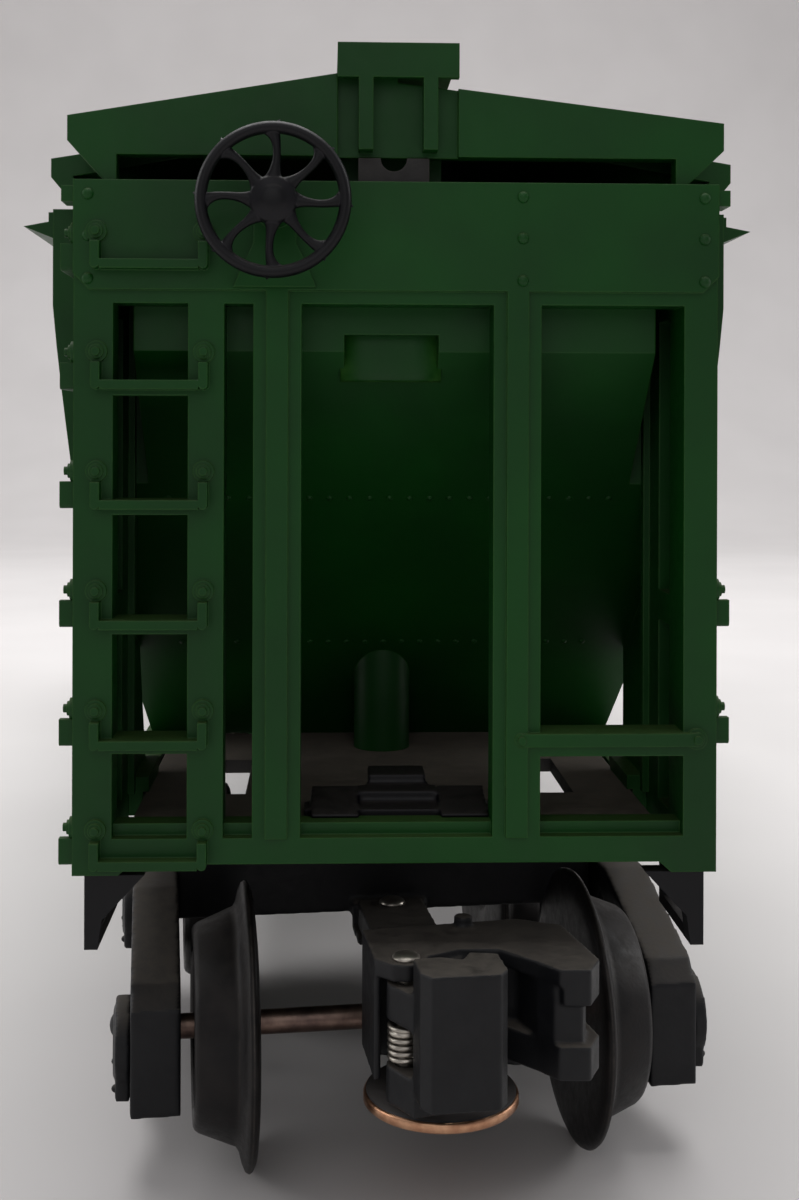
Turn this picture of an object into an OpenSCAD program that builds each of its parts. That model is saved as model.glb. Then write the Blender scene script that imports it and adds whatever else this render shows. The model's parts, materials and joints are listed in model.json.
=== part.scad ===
// O gauge covered hopper wagon. X across, Y along the track, Z up from the wheel flanges.
// The brake end is at -Y. Both ends are the same piece turned half round, brake gear apart.

/* [Body] */
// Length over the end frames
body_l = 260; // [210:1:330]
// Width over the curved sides
body_w = 56.4; // [50:0.2:68]
// Width of each end frame
frame_w = 48.6; // [46:0.2:50]
// Height from deck to the top of the end panel
frame_h = 48.9; // [44:0.1:60]
// Thickness of moulded plastic walls
wall = 1.4; // [1:0.1:1.7]
// Depth of the end frame, front to back
frame_t = 3; // [2:0.1:4]
// How far the curved sides start behind the end frame
side_start = 13; // [10:0.5:16]
// Angle of the end slope sheets above level
slope_angle = 46.5; // [42:0.5:52]
// Rise of the roof from eave to ridge, per millimetre of half width
roof_pitch = 0.165; // [0.12:0.005:0.2]
// Number of outlet bays
bays = 3; // [2:1:4]

/* [Ladders] */
// Height from one rung to the next
rung_pitch = 8.95; // [8:0.05:9.4]
// Rungs on each ladder
rungs = 6; // [4:1:6]
// How far a rung stands out of the frame
rung_out = 1.1; // [0.8:0.1:1.6]

/* [Trucks] */
// Distance between the truck pivots
truck_pitch = 198; // [150:1:204]
// Distance between the axles of a truck
wheelbase = 36; // [34:0.5:42]
// Diameter of the wheel flanges
flange_d = 22.6; // [20:0.1:24]
// Diameter of the wheel treads where they meet the flange
tread_d = 18.2; // [16:0.1:19]
// Spacing of the wheel flanges, tip to tip
flange_gauge = 28.3; // [27:0.1:29.5]
// Width of a wheel
wheel_w = 5; // [4.4:0.1:5.8]
// Diameter of the axles
axle_d = 2; // [1.6:0.1:2.6]
// Height of the deck top above the axles
deck_rise = 18.8; // [18:0.1:22]
// Angle that the front truck stands turned at rest
front_truck_yaw = 6.5; // [-8:0.5:8]

/* [Brake] */
// Diameter of the brake wheel
brake_d = 11.4; // [9:0.1:14]
// Number of brake wheel spokes
spokes = 8; // [5:1:8]

/* [Coupler] */
// Reach from the truck pivot to the face of the knuckle
coupler_reach = 40.2; // [38:0.1:46]
// Diameter of the uncoupling disk
disk_d = 11.8; // [9:0.1:13]

/* [Fits] */
// Running clearance on the radius of pins and shafts
run_gap = 0.05; // [0.03:0.01:0.09]
// Clearance between faces that move past each other
face_gap = 0.35; // [0.3:0.05:0.6]

/* [Hidden] */
$fn = 48;
eps = 0.01;
axle_z = flange_d / 2;
axle_r = axle_d / 2;
deck_z = axle_z + deck_rise;
deck_t = 1.2;
deck_under = deck_z - deck_t;
deck_half = 20.3;
hole_in = 12;
hole_out = 15.4;
half_l = body_l / 2;
half_w = body_w / 2;
fx = frame_w / 2;
panel_top = deck_z + frame_h;
panel_low = panel_top - 8.2;
window_top = panel_low - 1;
sill_top = deck_z - 0.45;
ledge_top = deck_z + 0.45;
ledge_d = 1;
sill_low = deck_z - 2.4;
sill_drop = deck_z - 3.2;
post_w = 2.55;
ladder_post_w = 2.95;
mid_x = 9.06;
mid_w = 3.62;
mid_web = 1.65;
return_d = side_start;
stringer_d = side_start + 1.8;
stringer_out = 2.8;
pocket = 1.2;
grab_rise = 7.2;
ladder_in = 14.55;
ladder_out = fx - 1.75;
rung_drop = 2.48;
rung_bar = 0.7;
rail_under = 0.45;
boss_r = 0.8;
ladder_top = panel_top - 3.9;
// Hopper
slope_top = window_top - 3.4;
slope_back = frame_t + (slope_top - deck_z) / tan(slope_angle);
neck_half = 20.2;
side_high = panel_top - 0.3;
side_low_half = half_w - 5.6;
bulge_z = side_high - 8;
floor_t = 1.2;
pivot_d = half_l - truck_pitch / 2;
bay_from = pivot_d + wheelbase / 2 + flange_d / 2 - 4;
bay_l = (body_l - 2 * bay_from) / bays;
chute_low = axle_z - 1.4;
chute_half = 7;
chute_run = 14;
chute_top_half = 16.5;
chute_top_run = bay_l - 8;
gate_t = 1;
// Roof
eave_half = half_w - 0.65;
eave_z = panel_top + 3.1;
eave_t = 1.5;
roof_start = 8.5;
roof_t = 1.4;
ridge_z = eave_z + eave_half * roof_pitch;
hood_half = fx + 0.65;
hood_z = panel_top + 5.2;
hood_front = 0.8;
hood_pitch = 0.166;
hood_ridge = hood_z - 0.2 + hood_half * hood_pitch;
hood_dip = 1.3;
hood_dip_end = 0.35;
hood_low = panel_top + 2.1;
hood_t = 1.6;
walk_w = 9.2;
walk_top = panel_top + 10.55;
walk_t = 0.9;
walk_box = 2.6;
hatches = 3;
hatch_w = 11.7;
hatch_in = 12.3;
hatch_t = 1.5;
hatch_first = roof_start + 5;
hatch_pitch = (body_l - 2 * roof_start - 10) / hatches;
hatch_l = hatch_pitch * 0.55;
hatch_lip = 1.3;
hinge_r = 0.55;
hatch_lug_w = 1.2;
hatch_lift = 0.35;
coaming_h = 0.9;
hinge_z = hatch_lift + 0.85;
hinge_x = -0.75;
// Body fasteners
screw_r = 1.3;
body_boss_r = 2.65;
pivot_head_r = 3;
body_screw_r = 0.75;
body_screw_x = 15;
body_screw_y = -half_l + slope_back + 6;
// Truck
frame_in = flange_gauge / 2 + wheel_w - 0.75 + 1;
frame_thick = 4;
bolster_z = axle_z + 4.4;
bolster_top = bolster_z + 6;
bolster_half_y = 4.5;
axle_end = frame_in + 1.7;
journal_r = 3.6;
cap_out = 1.9;
// Coupler
head_top = axle_z + 10.2;
plate_t = 1.3;
arm_low = axle_z + 2.1;
arm_t = 2.5;
tongue_z = axle_z + 3.4;
tongue_t = 2.4;
pin_x = -3.2;
pin_y = -(coupler_reach - 6.6);
pin_r = 0.7;
eye_r = 1.45;
eye_h = 2.7;
eye_low = axle_z - 0.2;
eye_high = head_top - plate_t - face_gap;
pin_low = eye_low - 0.2;
knuckle_half = 3.15;
knuckle_top = head_top + 0.9;
knuckle_low = axle_z + 1.5;
disk_y = -(coupler_reach - 9.6);
disk_t = 0.9;
disk_z = pin_low - face_gap - disk_t;
stem_r = 1.1;
guide_r = 2.2;
// Brake gear
brake_x = -9.25;
brake_z = panel_top - 2.1;
brake_y = -5;
hub_r = 1.75;
rim_w = 0.9;
shaft_r = 0.7;
housing_t = 0.35;

green = [0.07, 0.25, 0.08];
black = [0.05, 0.05, 0.055];
steel = [0.55, 0.53, 0.5];
iron = [0.2, 0.18, 0.17];

// Children drawn with the end frame's face at y = 0 and +y into the wagon
module at_front() {
  translate([0, -half_l, 0]) children();
}
module at_rear() {
  rotate([0, 0, 180]) translate([0, -half_l, 0]) children();
}
module both_ends() {
  at_front() children();
  at_rear() children();
}
// Children drawn about a truck's pivot, with the coupler towards -y
module at_front_truck() {
  translate([0, -truck_pitch / 2, 0]) rotate([0, 0, front_truck_yaw]) children();
}
module at_rear_truck() {
  rotate([0, 0, 180]) translate([0, -truck_pitch / 2, 0]) children();
}
module mirror_x() {
  children();
  mirror([1, 0, 0]) children();
}
module mirror_y() {
  children();
  mirror([0, 1, 0]) children();
}
// A block from its low corner to its high corner
module block(low, high) {
  translate(low) cube(high - low);
}
// A section in X and Z, drawn from y = from to y = to
module along_y(from, to) {
  translate([0, to, 0]) rotate([90, 0, 0]) linear_extrude(to - from) children();
}
// A section in Y and Z, drawn from x = from to x = to
module along_x(from, to) {
  translate([from, 0, 0]) rotate([90, 0, 90]) linear_extrude(to - from) children();
}

// ---------- End frames ----------

// A bolt head on its round foot, standing out towards -y
module bolt_foot() {
  rotate([90, 0, 0]) {
    translate([0, 0, -eps]) cylinder(r = boss_r, h = 0.3);
    cylinder(r = boss_r * 0.68, h = 0.5);
    cylinder(r = boss_r * 0.4, h = 0.8);
  }
}
// One rung with its two bolted ends: w apart, standing out towards -y
module rung(w) {
  half = rung_bar / 2;
  for (x = [-w / 2, w / 2]) {
    translate([x, 0, 0]) bolt_foot();
    block([x - half, -rung_out, -rung_drop], [x + half, eps, -boss_r]);
  }
  reach = w / 2 - half + eps;
  block([-reach, -rung_out, -rung_drop - rung_bar / 2], [reach, eps, -rung_drop + rung_bar / 2]);
  // Rounded outer corners of the bar
  for (x = [-w / 2, w / 2])
    translate([x, eps, -rung_drop])
      rotate([90, 0, 0])
        cylinder(r = half, h = rung_out + eps);
}

module end_outline() {
  c = 0.9;
  polygon([
    [-fx, sill_drop], [-fx, panel_top], [fx, panel_top], [fx, sill_drop],
    [fx - post_w - c, sill_drop], [fx - post_w - c - c, sill_low],
    [-fx + post_w + 2 * c, sill_low], [-fx + post_w + c, sill_drop]
  ]);
}

module end_window(x0, x1, z0, z1) {
  block([x0, -1, z0], [x1, frame_t + 1, z1]);
}

module ladder_bars(first, last) {
  w = ladder_out - ladder_in;
  for (i = [first : last])
    translate([-(ladder_out + ladder_in) / 2, 0, ladder_top - i * rung_pitch]) rung(w);
}

// Tall openings of the end: ladder bay, inner bay, centre bay and right-hand bay
module end_windows() {
  inner_left = -mid_x - mid_w / 2;
  stile = ladder_in - 1.5;
  for (i = [1 : rungs - 1]) {
    z1 = ladder_top - (i - 1) * rung_pitch - rung_drop - rung_bar / 2 - rail_under;
    z0 = ladder_top - i * rung_pitch - rung_drop + rung_bar / 2;
    end_window(-fx + ladder_post_w, -ladder_in - 1.2, max(z0, sill_top), min(z1, window_top));
  }
  end_window(-stile, inner_left, sill_top, window_top);
  end_window(-mid_x + mid_w / 2, mid_x - mid_w / 2, sill_top, window_top);
  end_window(mid_x + mid_w / 2, fx - post_w, sill_top + grab_rise + 0.65, window_top);
  end_window(mid_x + mid_w / 2, fx - post_w, sill_top, sill_top + grab_rise - 1.15);
}

// The thick side wall that turns back from a corner post, with two shallow pockets inside
module side_return() {
  inner = fx - post_w;
  split = deck_z + frame_h * 0.33;
  difference() {
    block([inner, frame_t - eps, sill_drop], [fx, return_d, panel_top - 0.6]);
    block([inner - 1, frame_t + 1.7, split + 1.2], [inner + pocket, return_d - 4.4, window_top - 0.6]);
    block([inner - 1, frame_t + 1.7, sill_top + 0.8], [inner + pocket, return_d - 4.4, split - 1.2]);
  }
  block([side_low_half - wall, return_d - 1, deck_z], [inner + eps, return_d, panel_low]);
}

module end_frame() {
  grab_z = sill_top + grab_rise + 0.15;
  color(green) union() {
    difference() {
      along_y(0, frame_t) end_outline();
      end_windows();
    }
    // Raised centre webs of the two middle posts
    mirror_x() block([mid_x - mid_web / 2, -0.4, sill_top], [mid_x + mid_web / 2, eps, window_top + 1]);
    // Raised end panel with its cut lower corners
    along_y(-0.4, eps)
      polygon([[-fx, panel_top], [fx, panel_top], [fx, panel_low + 1.2], [fx - 1.2, panel_low],
               [-fx + 1.2, panel_low], [-fx, panel_low + 1.2]]);
    mirror_x() block([fx - eps, 0, panel_top - 1.6], [fx + 0.95, 2.5, panel_top - 0.4]);
    mirror_x() side_return();
    // Ledge behind the sill's face, on which the windows end
    block([-fx + post_w - eps, ledge_d, sill_low], [fx - post_w + eps, frame_t, ledge_top]);
    // Ladder: the top rung stands on the panel
    translate([0, -0.4, 0]) ladder_bars(0, 0);
    ladder_bars(1, rungs - 1);
    // Grab bar across the right-hand bay
    translate([(mid_x + fx) / 2 - 0.6, 0, grab_z]) {
      w = fx - mid_x - 1.9;
      for (x = [-w / 2, w / 2])
        translate([x, 0, 0]) bolt_foot();
      block([-w / 2, -0.6, -0.5], [w / 2, eps, 0.5]);
    }
    // Side ladder on the left, two grab bars on the right
    for (i = [0 : rungs - 1])
      translate([-fx, return_d / 2 - 0.8, ladder_top - i * rung_pitch]) rotate([0, 0, -90]) rung(9.6);
    for (i = [3 : 4])
      translate([fx, return_d / 2 - 0.8, ladder_top - i * rung_pitch]) rotate([0, 0, 90]) rung(9.6);
  }
}
module front_end_frame() {
  at_front() end_frame();
}
module rear_end_frame() {
  at_rear() end_frame();
}

// ---------- Hopper ----------

// Half width of the curved side at height z
function side_x(z) =
  z >= bulge_z ? half_w
  : side_low_half + (half_w - side_low_half) * (1 - pow((bulge_z - z) / (bulge_z - deck_z), 1.15));

module side_section(t) {
  steps = 12;
  low = deck_z + (t > 0 ? floor_t : 0);
  top = side_high + (t > 0 ? 1 : 0);
  rise = bulge_z - low;
  right = [for (i = [0 : steps]) let (z = low + rise * i / steps) [side_x(z) - t, z]];
  left = [for (i = [steps : -1 : 0]) [-right[i][0], right[i][1]]];
  polygon(concat(right, [[half_w - t, top], [-half_w + t, top]], left));
}

// Length section of the hopper between its two slope sheets; t thins it to the inside
module slope_section(t) {
  s = t / sin(slope_angle);
  low = deck_z + (t > 0 ? floor_t : 0);
  high = side_high + (t > 0 ? 1 : 0);
  front = frame_t;
  back = slope_back - (low - deck_z) / tan(slope_angle);
  y_low = half_l - back - s;
  y_high = half_l - front - t;
  polygon([[-y_low, low], [-y_high, slope_top + (t > 0 ? t * 0.45 : 0)], [-y_high, high],
           [y_high, high], [y_high, slope_top + (t > 0 ? t * 0.45 : 0)], [y_low, low]]);
}

module hopper_solid(t) {
  wide = half_l - side_start - t;
  intersection() {
    union() {
      along_y(-wide, wide) side_section(t);
      block([-neck_half + t, -half_l, deck_z], [neck_half - t, half_l, side_high + 1]);
    }
    along_x(-body_w, body_w) slope_section(t);
  }
}

// The opening that each bay has through the floor and the deck
module bay_hole(low, high) {
  block([wall - chute_top_half, wall - chute_top_run / 2, low],
        [chute_top_half - wall, chute_top_run / 2 - wall, high]);
}

module hopper_body() {
  color(green) difference() {
    union() {
      difference() {
        hopper_solid(0);
        hopper_solid(wall);
      }
      // Top plate and stringer along each side
      mirror_x() along_y(-half_l + stringer_d, half_l - stringer_d)
        polygon([[half_w - wall, side_high - 0.8], [half_w - wall, side_high], [half_w + 0.7, side_high],
                 [half_w + 0.7, side_high - 0.8], [half_w + stringer_out, side_high - 1.2],
                 [half_w - 0.2, side_high - 2.4], [half_w - wall, side_high - 2.4]]);
      // Ridges between the bays
      for (i = [1 : bays - 1])
        translate([0, -half_l + bay_from + i * bay_l, 0])
          along_x(-side_low_half + wall / 2, side_low_half - wall / 2)
            polygon([[-5, deck_z + floor_t / 2], [5, deck_z + floor_t / 2], [0, deck_z + 15]]);
      // Screw bosses under the slope sheets, one over each truck
      mirror_y() intersection() {
        translate([0, -truck_pitch / 2, deck_z]) cylinder(r = body_boss_r, h = 30);
        along_x(-body_boss_r, body_boss_r) boss_room();
      }
      // Side aprons below the slope sheets, and the sill along each side
      mirror_y() apron();
      mirror_x()
        block([deck_half + 0.3, -half_l + return_d, deck_z - 2],
              [side_low_half + 0.8, half_l - return_d, deck_z + eps]);
    }
    // Outlets of the bays
    for (i = [0 : bays - 1])
      at_bay(i) bay_hole(deck_z - 1, deck_z + floor_t + 1);
    mirror_y() translate([0, -truck_pitch / 2, deck_z - 1]) cylinder(r = screw_r - 0.2, h = 7);
    mirror_y() mirror_x() translate([body_screw_x, body_screw_y, deck_z - 1])
      cylinder(r = body_screw_r - 0.15, h = 2);
    // Slot for the roof's latch tab, high in each end wall
    both_ends() block([-4, frame_t - 1, slope_top - 1.4], [3.3, frame_t + wall + 1.5, slope_top + 1.3]);
  }
}

// Space below the outside of a slope sheet, with a little of its wall
module boss_room() {
  polygon([[-half_l, deck_z], [-half_l + slope_back + wall / 2, deck_z],
           [-half_l + frame_t + wall, slope_top], [-half_l, slope_top]]);
}

// Side sheet that carries on below a slope sheet and leaves a triangular opening behind it
module apron() {
  edge = slope_back - 17;
  meet = slope_back - 8.5;
  intersection() {
    difference() {
      along_y(-half_l + side_start, -half_l + slope_back) side_section(0);
      along_y(-half_l, -half_l + slope_back + 1) side_section(wall);
      block([-side_low_half + 2.5, -half_l, deck_z - 1], [side_low_half - 2.5, 0, deck_z + floor_t + 1]);
    }
    along_x(-half_w, half_w)
      polygon([[-half_l + side_start, deck_z], [-half_l + edge, deck_z], [-half_l + meet, deck_z + 11],
               [-half_l + side_start, slope_top - 8]]);
  }
}

// ---------- Roof ----------

module roof_section() {
  lip = 1.35;
  polygon([
    [-eave_half + lip, panel_top], [-eave_half, eave_z - eave_t], [-eave_half, eave_z], [0, ridge_z],
    [eave_half, eave_z], [eave_half, eave_z - eave_t], [eave_half - lip, panel_top],
    [eave_half - lip - 1.2, panel_top], [eave_half - lip - 0.4, eave_z - roof_t],
    [0, ridge_z - roof_t], [-eave_half + lip + 0.4, eave_z - roof_t], [-eave_half + lip + 1.2, panel_top]
  ]);
}

// Raised end hood: a gabled face whose ends wedge down to the panel
module end_hood() {
  foot = hood_half - 2.9;
  difference() {
    union() {
      along_y(hood_front, roof_start + 1.5)
        polygon([[-foot, panel_top], [-hood_half, eave_z], [-hood_half, hood_z - 0.2], [0, hood_ridge],
                 [0, hood_ridge - hood_dip], [hood_half, hood_z - hood_dip_end],
                 [hood_half, eave_z - hood_dip_end], [foot, panel_top]]);
    }
    // Hollow behind the face and the long slot over the panel
    along_y(hood_front + hood_t, roof_start + 3)
      polygon([[-hood_half + hood_t, eave_z], [-hood_half + hood_t, hood_z - hood_t],
               [0, hood_ridge - hood_dip - hood_t], [hood_half - hood_t, hood_z - hood_dip_end - hood_t],
               [hood_half - hood_t, eave_z], [foot - 0.8, panel_top - 1], [-foot + 0.8, panel_top - 1]]);
    block([-foot + 0.8, -1, panel_top - 1], [foot - 0.8, roof_start + 3, hood_low]);
    // Bay for the running board's end brackets
    block([-walk_w / 2, -1, hood_low - 1], [walk_w / 2, hood_front + 0.7, hood_ridge + 1]);
  }
  // Latch tongue that hangs down inside the end wall and fills its slot from behind
  block([-4.3, frame_t + wall + face_gap, slope_top + 0.3],
        [3.6, frame_t + wall + face_gap + 1.2, hood_ridge - hood_dip - hood_t + 0.2]);
}

// Places a hatch at its station: side -1 or 1, index from 0, drawn level with its hinge edge at x = 0
module at_hatch(side, i) {
  y = -half_l + hatch_first + (side < 0 ? 0 : hatch_pitch - hatch_l) + i * hatch_pitch + hatch_l / 2;
  turn = side < 0 ? 0 : 180;
  rotate([0, 0, turn])
    translate([-hatch_in - hatch_w, side < 0 ? y : -y,
               eave_z + (eave_half - hatch_in - hatch_w) * roof_pitch])
      rotate([0, -atan(roof_pitch), 0]) children();
}

module hatch_coaming() {
  block([hatch_lip, -hatch_l / 2 + hatch_lip, -roof_t],
        [hatch_w - hatch_lip, hatch_l / 2 - hatch_lip, coaming_h]);
}
module hatch_hole() {
  block([hatch_lip + 0.8, -hatch_l / 2 + hatch_lip + 0.8, -6],
        [hatch_w - hatch_lip - 0.8, hatch_l / 2 - hatch_lip - 0.8, coaming_h + 1]);
}
module hatch_lugs() {
  for (y = [-hatch_l / 4, hatch_l / 4])
    for (s = [-1, 1])
      difference() {
        block([hinge_x - 1, y + s * 2.6 - hatch_lug_w / 2, -0.6],
              [hinge_x + 0.9, y + s * 2.6 + hatch_lug_w / 2, hinge_z + 0.85]);
        translate([hinge_x, y + s * 2.6 - 2, hinge_z]) rotate([-90, 0, 0])
          cylinder(r = hinge_r + run_gap, h = 4);
      }
}
module hatch_lid() {
  color(green) {
    difference() {
      block([0, -hatch_l / 2, hatch_lift], [hatch_w, hatch_l / 2, hatch_lift + hatch_t]);
      block([hatch_lip - face_gap, -hatch_l / 2 + hatch_lip - face_gap, -1],
            [hatch_w - hatch_lip + face_gap, hatch_l / 2 - hatch_lip + face_gap, coaming_h + 0.15]);
      for (y = [-hatch_l / 4, hatch_l / 4])
        for (s = [-1, 1])
          block([-1, y + s * 2.6 - hatch_lug_w / 2 - face_gap, 0],
                [hinge_x + 1 + face_gap, y + s * 2.6 + hatch_lug_w / 2 + face_gap, 3]);
    }
    for (y = [-hatch_l / 4, hatch_l / 4]) {
      translate([hinge_x, y - 3.2, hinge_z]) rotate([-90, 0, 0]) cylinder(r = hinge_r, h = 6.4);
      block([hinge_x, y - 1.5, hinge_z - hinge_r], [0.2, y + 1.5, hinge_z + hinge_r]);
    }
    // Raised centre panel of the lid
    block([2.2, -hatch_l / 2 + 2.2, hatch_lift + hatch_t - eps],
          [hatch_w - 2.2, hatch_l / 2 - 2.2, hatch_lift + hatch_t + 0.35]);
  }
}
module roof_cover() {
  color(green) difference() {
    union() {
      along_y(-half_l + roof_start, half_l - roof_start) roof_section();
      both_ends() end_hood();
      for (side = [-1, 1])
        for (i = [0 : hatches - 1])
          at_hatch(side, i) {
            hatch_coaming();
            hatch_lugs();
          }
    }
    for (side = [-1, 1])
      for (i = [0 : hatches - 1])
        at_hatch(side, i) hatch_hole();
  }
}

module running_board() {
  legs = 5;
  inner = half_l - roof_start - 12;
  color(green) union() {
    block([-walk_w / 2, -half_l, walk_top - walk_t], [walk_w / 2, half_l, walk_top]);
    both_ends() {
      // Open-bottomed end box and its two brackets
      block([-walk_w / 2, 0, walk_top - walk_box], [walk_w / 2, 0.7, walk_top - walk_t + eps]);
      mirror_x() {
        block([1.9, 0, hood_low + 0.4], [3, hood_front + 0.7, walk_top - walk_t + eps]);
        block([walk_w / 2 - 0.8, 0, hood_ridge - 0.05],
              [walk_w / 2, hood_front + hood_t, walk_top - walk_t + eps]);
      }
    }
    for (i = [0 : legs - 1])
      translate([0, -inner + 2 * inner * i / (legs - 1), 0])
        mirror_x()
          block([2.4, -0.8, ridge_z - 2.4 * roof_pitch + 0.02], [3.4, 0.8, walk_top - walk_t + eps]);
  }
}

module roof_latch_tabs() {
  color([0.3, 0.3, 0.3]) both_ends() difference() {
    block([-3, 1, panel_top], [2.4, 2.2, hood_low - 0.1]);
    translate([-0.3, 0, hood_low - 0.1]) rotate([-90, 0, 0]) cylinder(r = 1, h = 20);
  }
}

// ---------- Underframe ----------

module underframe() {
  inset = frame_t + 0.3;
  color(iron) difference() {
    union() {
      block([-deck_half, -half_l + inset, deck_under], [deck_half, half_l - inset, deck_z]);
      // Centre sill below the deck, stopping short of the trucks
      block([-3, -truck_pitch / 2 + 26, deck_under - 4], [3, truck_pitch / 2 - 26, deck_under + eps]);
      // Ribs that stiffen the side strips
      mirror_x() block([deck_half - 1.2, -half_l + 24, deck_under - 1.6],
                       [deck_half, half_l - 24, deck_under + eps]);
    }
    // Openings beside the pivots
    mirror_y() mirror_x() {
      block([hole_in, -half_l + 12, deck_under - 1], [hole_out, -half_l + 25, deck_z + 1]);
      block([hole_in, -half_l + 37, deck_under - 1], [hole_out, -half_l + slope_back + 9, deck_z + 1]);
    }
    for (i = [0 : bays - 1])
      at_bay(i) {
        bay_hole(deck_under - 1, deck_z + 1);
        block([-4, -chute_top_run / 2 - face_gap, deck_under - 8],
              [4, chute_top_run / 2 + face_gap, deck_under]);
      }
    mirror_y() translate([0, -truck_pitch / 2, deck_under - 1]) cylinder(r = screw_r, h = 4);
    mirror_y() mirror_x() translate([body_screw_x, body_screw_y, deck_under - 2])
      cylinder(r = body_screw_r + run_gap, h = 5);
  }
}

// Stirrup step: a bracket that narrows downwards, a second leg and the tread between them
module stirrup() {
  outer = fx - 0.9;
  drop = 5.6;
  run = 11;
  top_w = 4.5;
  along_y(0.2, 1.9)
    polygon([[outer, sill_drop], [outer, sill_drop - drop], [outer - 1, sill_drop - drop],
             [outer - 1.3, sill_drop - drop + 2.2], [outer - top_w, sill_drop]]);
  block([outer - 1, run - 1.3, sill_drop - drop], [outer, run, sill_drop]);
  block([outer - 1, 0.2, sill_drop - drop], [outer, run, sill_drop - drop + 0.9]);
}
module sill_steps() {
  color(black) both_ends() mirror_x() stirrup();
}

module striker() {
  y0 = frame_t;
  color(black) union() {
    block([-7, y0, deck_z], [7.8, y0 + 2.6, deck_z + 0.9]);
    // Sloped pads that lie over the ledge, one on each side
    for (x = [[-6.5, -2.8], [3.5, 7.2]])
      along_x(x[0], x[1])
        polygon([[y0, deck_z], [y0 + 3.6, deck_z], [y0 + 3.6, deck_z + 1.9], [y0 - 0.8, ledge_top + 0.3],
                 [y0 - 0.8, ledge_top], [y0, ledge_top]]);
    block([-2.8, y0 + 2.4, deck_z], [3.5, y0 + 4.6, deck_z + 1.8]);
    block([-1.9, y0 + 4.6 - eps, deck_z], [2.7, y0 + 8, deck_z + 2.6]);
  }
}
module front_striker() {
  at_front() striker();
}
module rear_striker() {
  at_rear() striker();
}

// ---------- Outlets ----------

module at_bay(i) {
  translate([0, -half_l + bay_from + (i + 0.5) * bay_l, 0]) children();
}
// Tapered funnel: half widths at the deck and at the mouth, w thinned to the inside
module funnel(w, low, high) {
  intersection() {
    along_y(-chute_top_run, chute_top_run)
      polygon([[-chute_top_half + w, high], [-chute_half - wall + w, low], [chute_half + wall - w, low],
               [chute_top_half - w, high]]);
    along_x(-chute_top_half, chute_top_half)
      polygon([[-chute_top_run / 2 + w, high],
               [-chute_run / 2 - wall + w, low], [chute_run / 2 + wall - w, low],
               [chute_top_run / 2 - w, high]]);
  }
}
module chute() {
  low = chute_low + gate_t + 2 * face_gap;
  under = low - gate_t - 2 * face_gap;
  side = chute_run / 2;
  difference() {
    union() {
      funnel(0, low, deck_under);
      // Gate runners on both sides of the mouth
      mirror_y() {
        block([-chute_half - 3, side, low], [chute_half + 3, side + 3, low + 1.4]);
        block([-chute_half - 3, side + 1.4, under - 0.8], [chute_half + 3, side + 3, low + eps]);
        block([-chute_half - 3, side - 0.8, under - 0.8], [chute_half + 3, side + 3, under]);
      }
    }
    funnel(wall, low, deck_under);
    block([-chute_half, -side, low - 0.5], [chute_half, side, low + 2]);
    translate([0, 0, deck_under - eps]) block([wall - chute_top_half, wall - chute_top_run / 2, 0],
                                              [chute_top_half - wall, chute_top_run / 2 - wall, 1]);
  }
}
module outlet_chutes() {
  color(green) for (i = [0 : bays - 1]) at_bay(i) chute();
}
module outlet_gate() {
  z = chute_low + face_gap;
  half_y = chute_run / 2 + 1.4 - face_gap;
  lip = chute_half + 3 + face_gap;
  color(iron) {
    block([-chute_half - 1, -half_y, z], [lip + 1, half_y, z + gate_t]);
    block([lip, -half_y, z], [lip + 1, half_y, z + 2.6]);
    mirror_y() block([lip + 1 - eps, half_y - 3, z], [lip + 2.4, half_y - 1.6, z + 2.6]);
    translate([lip + 1.8, -half_y + 2, z + 1.6])
      rotate([-90, 0, 0])
        cylinder(r = 0.55, h = 2 * half_y - 4);
  }
}

// Steel bars on the floor, along both sides of each bay
module ballast_weight() {
  bar_half = bay_l / 2 - 8;
  color(steel) for (i = [0 : bays - 1]) at_bay(i)
    mirror_x() block([chute_top_half, -bar_half, deck_z + floor_t],
                     [side_low_half - wall - 1, bar_half, deck_z + floor_t + 5]);
}

module screw(r, head_r, shank, head_t) {
  difference() {
    union() {
      translate([0, 0, -eps]) cylinder(r = r, h = shank + eps);
      translate([0, 0, -head_t]) cylinder(r = head_r, h = head_t);
    }
    translate([-head_r, -0.3, -head_t - 1]) cube([2 * head_r, 0.6, 1.6]);
  }
}

module body_screws() {
  color(steel) mirror_y() mirror_x()
    translate([body_screw_x, body_screw_y, deck_under]) screw(body_screw_r, 1.6, deck_t + 1, 0.8);
}

// ---------- Brake gear ----------

module brake_housing() {
  boss_out = 2.6;
  color(green) at_front() difference() {
    union() {
      along_y(-0.4 - housing_t, -0.4)
        polygon([[brake_x - 3.1, panel_low + 0.2], [brake_x - 2.6, panel_low + 1.4],
                 [brake_x - 1.6, brake_z - 2.6], [brake_x - 1.6, panel_top - 0.2],
                 [brake_x + 1.6, panel_top - 0.2], [brake_x + 1.6, brake_z - 2.6],
                 [brake_x + 2.6, panel_low + 1.4], [brake_x + 3.1, panel_low + 0.2]]);
      translate([brake_x, -0.4, brake_z]) rotate([90, 0, 0]) cylinder(r = 1.5, h = boss_out);
    }
    translate([brake_x, -0.3, brake_z])
      rotate([90, 0, 0])
        cylinder(r = shaft_r + run_gap, h = boss_out + 1);
  }
}
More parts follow.
